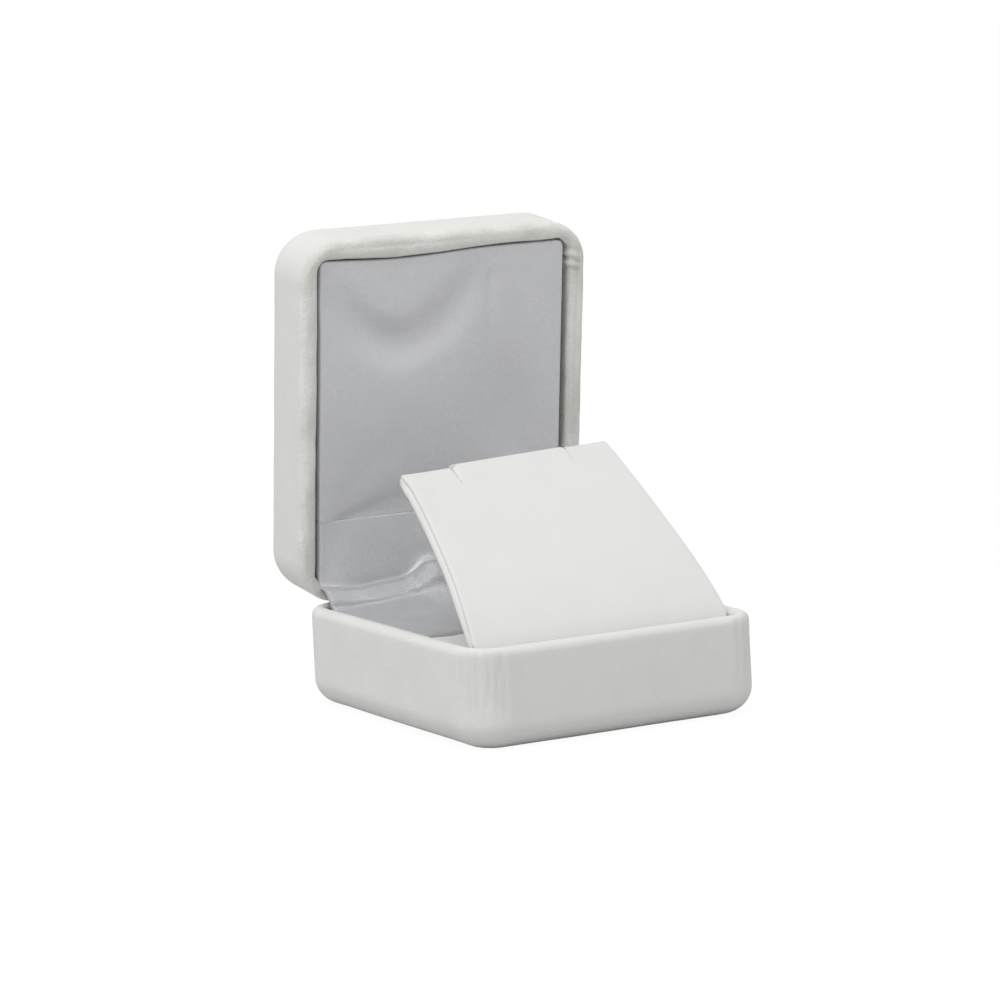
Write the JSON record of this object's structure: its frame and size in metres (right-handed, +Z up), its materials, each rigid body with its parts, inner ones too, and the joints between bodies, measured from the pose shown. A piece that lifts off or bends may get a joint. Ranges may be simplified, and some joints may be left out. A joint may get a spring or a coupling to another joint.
{
  "type": "jewelry gift box",
  "caption": "Hinged jewelry gift box wrapped in white leatherette, open, with a satin lid liner and a fold-down display flap with chain slits.",
  "frame": {"origin": "middle of the base's flat underside", "axes": "+Z up, -Y to the front that opens, +X to the right seen from the front"},
  "size_m": [0.054, 0.0761, 0.0794],
  "materials": {
    "leatherette": "matte, fine grain",
    "shell": "moulded",
    "satin": "satin sheen",
    "pad_cloth": "short nap",
    "foam": "open cell",
    "card": "raw",
    "steel": "nickel plated"
  },
  "bodies": {
    "base": {"base_cover": "leatherette", "base_shell": "shell", "base_foam": "foam", "pad_card": "card", "pad_cover": "pad_cloth", "gusset_fold": "satin", "flap_hinge_strip": "leatherette", "hinge_base_leaf": "steel", "hinge_pin": "steel", "base_rivet_left": "steel", "base_rivet_right": "steel", "snap_spring_left": "steel", "snap_spring_right": "steel"},
    "lid": {"lid_cover": "leatherette", "lid_shell": "shell", "lid_liner_satin": "satin", "gusset_panel": "satin", "lid_liner_wadding": "foam", "lid_liner_card": "card", "hinge_lid_leaf": "steel", "lid_rivet_left": "steel", "lid_rivet_right": "steel"},
    "flap": {"flap_cover": "leatherette", "flap_card": "card"}
  },
  "joints": [
    {"name": "lid_hinge", "type": "hinge", "parent": "base", "child": "lid", "pos_m": [0, 0.0302, 0.0173], "axis": [1, 0, 0], "range_deg": [0, 82.5]},
    {"name": "flap_fold", "type": "hinge", "parent": "base", "child": "flap", "pos_m": [0, -0.0266, 0.0138], "axis": [1, 0, 0], "range_deg": [-39, 0]}
  ],
  "couplings": [
    {"joint": "flap_fold", "follows": "lid_hinge", "ratio": -0.46667}
  ]
}
